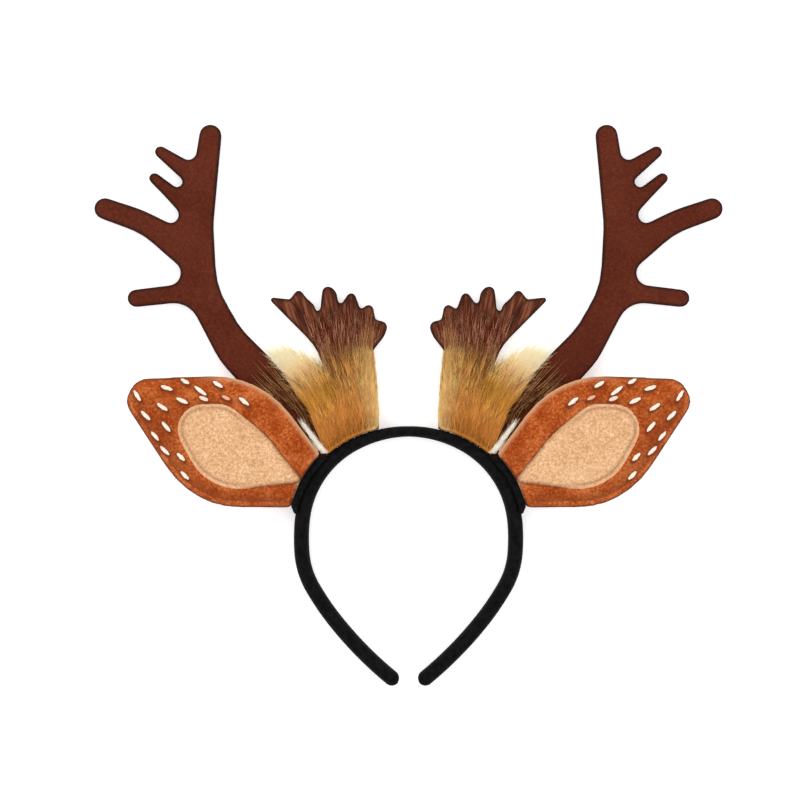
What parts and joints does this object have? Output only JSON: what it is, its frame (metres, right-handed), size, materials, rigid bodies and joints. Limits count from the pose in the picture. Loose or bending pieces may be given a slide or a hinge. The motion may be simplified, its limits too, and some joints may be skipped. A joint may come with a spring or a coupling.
{
  "type": "reindeer antler headband",
  "caption": "Costume headband: a padded band for the crown with felt antlers, small palm antlers, long fur at their feet and padded plush ears.",
  "frame": {"origin": "middle of the footprint on the surface the headband lies on", "axes": "+X to the viewer's right, +Y from the band towards the antler tips, +Z out of the front"},
  "size_m": [0.28, 0.2498, 0.0168],
  "materials": {
    "band_cloth": "black woven cloth wrapped over padding",
    "antler_felt": "dark brown felt with a darker cut edge",
    "fur_pile": "long golden tan faux fur",
    "ear_plush": "short orange brown plush",
    "lining_plush": "pale peach plush",
    "binding_cloth": "black cloth binding"
  },
  "bodies": {
    "root": {"headband": "band_cloth", "antler_left": "antler_felt", "antler_right": "antler_felt", "palm_left": "antler_felt", "palm_right": "antler_felt", "fur_left": "fur_pile", "fur_right": "fur_pile", "ear_left": "ear_plush", "ear_right": "ear_plush", "ear_lining_left": "lining_plush", "ear_lining_right": "lining_plush", "ear_binding_left": "binding_cloth", "ear_binding_right": "binding_cloth"}
  },
  "joints": []
}
